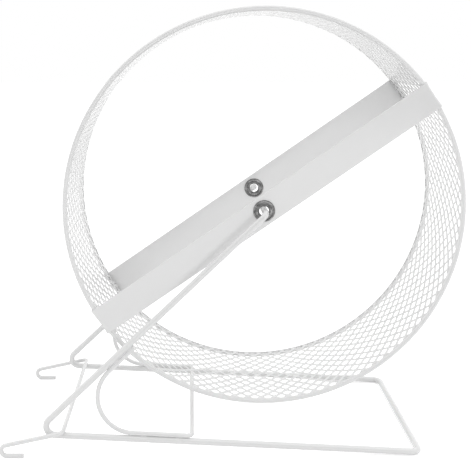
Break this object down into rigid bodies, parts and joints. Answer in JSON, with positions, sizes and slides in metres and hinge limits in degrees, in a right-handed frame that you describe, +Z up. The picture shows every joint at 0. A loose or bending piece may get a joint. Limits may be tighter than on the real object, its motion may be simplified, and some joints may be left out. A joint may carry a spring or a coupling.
{
  "type": "hamster wheel",
  "caption": "Wire running wheel for a small rodent, with a mesh floor between two hoops, hung by its crossbars in a bent wire stand with cage hooks.",
  "frame": {"origin": "middle of the part's box, on the floor it stands on", "axes": "+Z up, +Y along the axle from the front hoop to the back one, +X from the cage hooks to the cross rail"},
  "size_m": [0.3234, 0.1464, 0.3097],
  "materials": {
    "white_powder_coat": "satin",
    "eyelet_steel": "satin"
  },
  "bodies": {
    "stand": {"stand_frame": "white_powder_coat", "brace_wire": "white_powder_coat", "hook_wire": "white_powder_coat"},
    "wheel": {"front_rim": "white_powder_coat", "back_rim": "white_powder_coat", "mesh_tread": "white_powder_coat", "front_crossbar": "white_powder_coat", "back_crossbar": "white_powder_coat", "front_eyelet": "eyelet_steel", "back_eyelet": "eyelet_steel"}
  },
  "joints": [
    {"name": "wheel_spin", "type": "hinge", "parent": "stand", "child": "wheel", "pos_m": [0.02169, 0, 0.16966], "axis": [0, 1, 0], "continuous": true}
  ]
}
